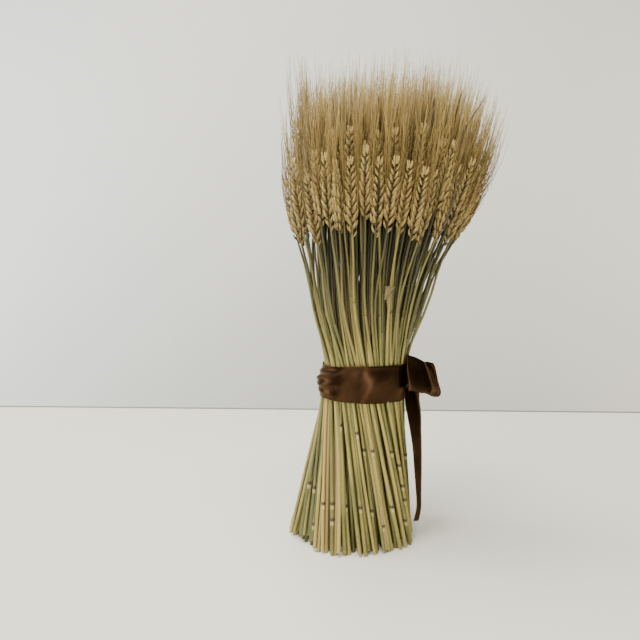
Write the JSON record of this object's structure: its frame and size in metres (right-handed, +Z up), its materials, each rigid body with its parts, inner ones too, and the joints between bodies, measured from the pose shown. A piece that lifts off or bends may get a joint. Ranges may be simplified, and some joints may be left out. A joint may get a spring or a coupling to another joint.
{
  "type": "dried wheat sheaf",
  "caption": "Standing sheaf of dried bearded wheat, twisted and bound at the waist, tied with a satin ribbon whose bow sits at one side.",
  "frame": {"origin": "centre of the middle stalk's cut end, on the surface that the sheaf stands on", "axes": "+Z up along the sheaf, -Y to its front, +X towards the bow"},
  "size_m": [0.2398, 0.2378, 0.5158],
  "materials": {
    "wheat": "dry straw, satin",
    "ribbon": "brown satin",
    "binding": "rough twine"
  },
  "bodies": {
    "root": {"stalk_01": "wheat", "stalk_02": "wheat", "stalk_03": "wheat", "stalk_04": "wheat", "stalk_05": "wheat", "stalk_06": "wheat", "stalk_07": "wheat", "stalk_08": "wheat", "stalk_09": "wheat", "stalk_10": "wheat", "stalk_11": "wheat", "stalk_12": "wheat", "stalk_13": "wheat", "stalk_14": "wheat", "stalk_15": "wheat", "stalk_16": "wheat", "stalk_17": "wheat", "stalk_18": "wheat", "stalk_19": "wheat", "stalk_20": "wheat", "stalk_21": "wheat", "stalk_22": "wheat", "stalk_23": "wheat", "stalk_24": "wheat", "stalk_25": "wheat", "stalk_26": "wheat", "stalk_27": "wheat", "stalk_28": "wheat", "stalk_29": "wheat", "stalk_30": "wheat", "stalk_31": "wheat", "stalk_32": "wheat", "stalk_33": "wheat", "stalk_34": "wheat", "stalk_35": "wheat", "stalk_36": "wheat", "stalk_37": "wheat", "stalk_38": "wheat", "stalk_39": "wheat", "stalk_40": "wheat", "stalk_41": "wheat", "stalk_42": "wheat", "stalk_43": "wheat", "stalk_44": "wheat", "stalk_45": "wheat", "stalk_46": "wheat", "inner_stalks": "wheat", "ribbon": "ribbon", "binding_band": "binding"}
  },
  "joints": []
}
